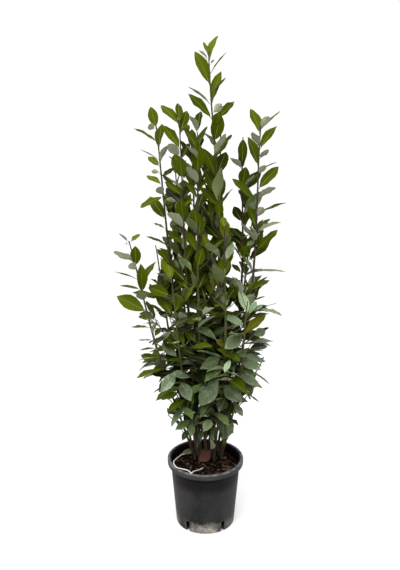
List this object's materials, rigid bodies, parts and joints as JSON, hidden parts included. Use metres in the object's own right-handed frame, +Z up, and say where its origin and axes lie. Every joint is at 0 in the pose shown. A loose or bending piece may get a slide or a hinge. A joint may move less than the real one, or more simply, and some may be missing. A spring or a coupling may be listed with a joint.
{
  "type": "potted bay laurel",
  "caption": "Upright, many-stemmed evergreen shrub with glossy leaves, growing in a round plastic nursery pot that stands on its flat base.",
  "frame": {"origin": "middle of the pot's flat underside, on the surface it stands on", "axes": "+Z up, -Y to the front as pictured, +X to the right seen from the front"},
  "size_m": [0.5277, 0.4031, 1.622],
  "materials": {
    "pot": "matt black injection-moulded plastic, scuffed, with lime stains at the foot",
    "soil": "dark, damp, crumbly peat and bark",
    "bark": "thin, smooth, brown to reddish bark, green when young",
    "leaves": "leathery, glossy above and matt below",
    "tie": "off-white plastic, slightly soiled"
  },
  "bodies": {
    "root": {"foliage_fore": "leaves", "foliage_fore_1": "leaves", "foliage_fore_left": "leaves", "foliage_fore_left_1": "leaves", "foliage_fore_left_2": "leaves", "foliage_fore_right": "leaves", "foliage_fore_right_1": "leaves", "foliage_fore_right_2": "leaves", "foliage_leader": "leaves", "foliage_leader_1": "leaves", "foliage_leader_2": "leaves", "foliage_left_fore": "leaves", "foliage_left_fore_1": "leaves", "foliage_left_low": "leaves", "foliage_left_low_1": "leaves", "foliage_left_low_2": "leaves", "foliage_left_tall": "leaves", "foliage_left_tall_1": "leaves", "foliage_middle": "leaves", "foliage_middle_1": "leaves", "foliage_rear_left": "leaves", "foliage_rear_left_2": "leaves", "foliage_rear_low": "leaves", "foliage_rear_right": "leaves", "foliage_rear_tall": "leaves", "foliage_rear_tall_1": "leaves", "foliage_right_low": "leaves", "foliage_right_low_1": "leaves", "foliage_right_low_2": "leaves", "foliage_right_rear": "leaves", "foliage_right_rear_1": "leaves", "foliage_right_tall": "leaves", "foliage_right_tall_1": "leaves", "foliage_right_tall_2": "leaves", "pot": "pot", "soil": "soil", "stem_fore": "bark", "stem_fore_left": "bark", "stem_fore_right": "bark", "stem_leader": "bark", "stem_left_fore": "bark", "stem_left_low": "bark", "stem_left_tall": "bark", "stem_middle": "bark", "stem_rear_left": "bark", "stem_rear_low": "bark", "stem_rear_right": "bark", "stem_rear_tall": "bark", "stem_right_low": "bark", "stem_right_rear": "bark", "stem_right_tall": "bark", "tie": "tie"}
  },
  "joints": []
}
